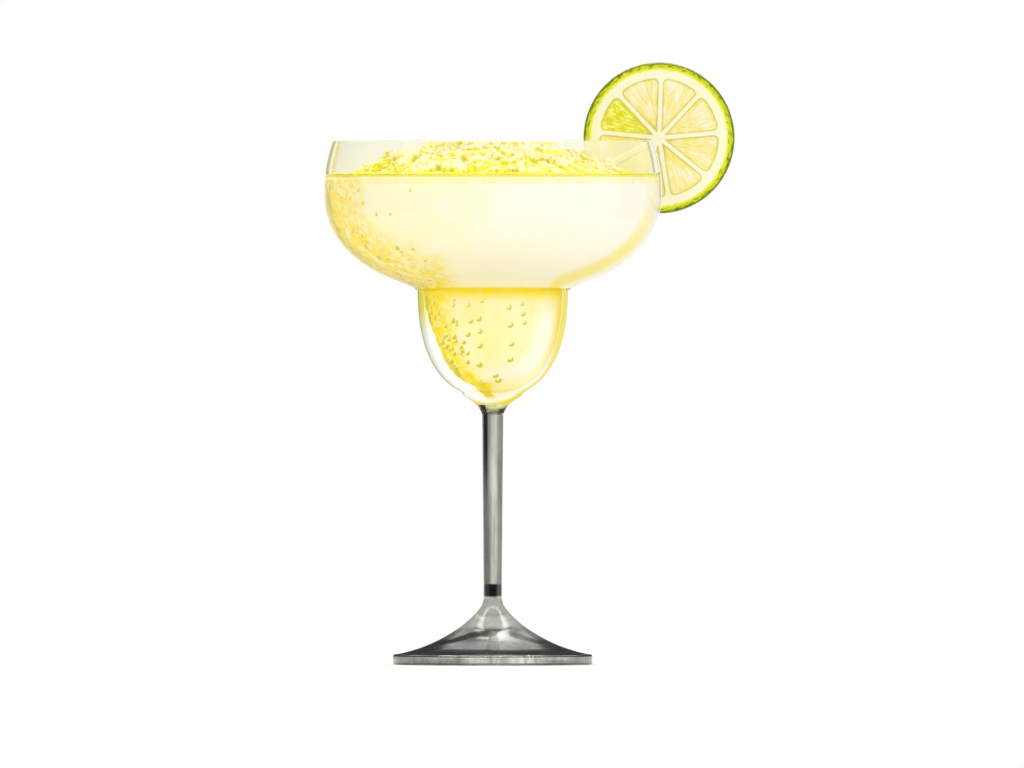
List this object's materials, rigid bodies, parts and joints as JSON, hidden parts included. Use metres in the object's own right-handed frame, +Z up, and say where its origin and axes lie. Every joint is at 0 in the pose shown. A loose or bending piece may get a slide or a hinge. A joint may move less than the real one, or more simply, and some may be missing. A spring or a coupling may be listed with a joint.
{
  "type": "lemon slush",
  "caption": "Stemmed margarita glass with a stepped bowl, full of pale lemon slush heaped up to the rim, with a round lime wheel pushed onto the rim at one side.",
  "frame": {"origin": "middle of the foot's flat underside, on the glass's axis", "axes": "+Z up along the stem, +X from the axis towards the lime wheel, the wheel's cut faces look along -Y and +Y"},
  "size_m": [0.1418, 0.1164, 0.2082],
  "materials": {
    "clear_glass": "clear, polished, faintly grey-green in the stem and foot",
    "lemon_slush": "wet crushed ice, milky and translucent",
    "lime": "moist cut fruit with a glossy green rind"
  },
  "bodies": {
    "root": {"glass": "clear_glass", "slush": "lemon_slush", "lime_wheel": "lime"}
  },
  "joints": []
}
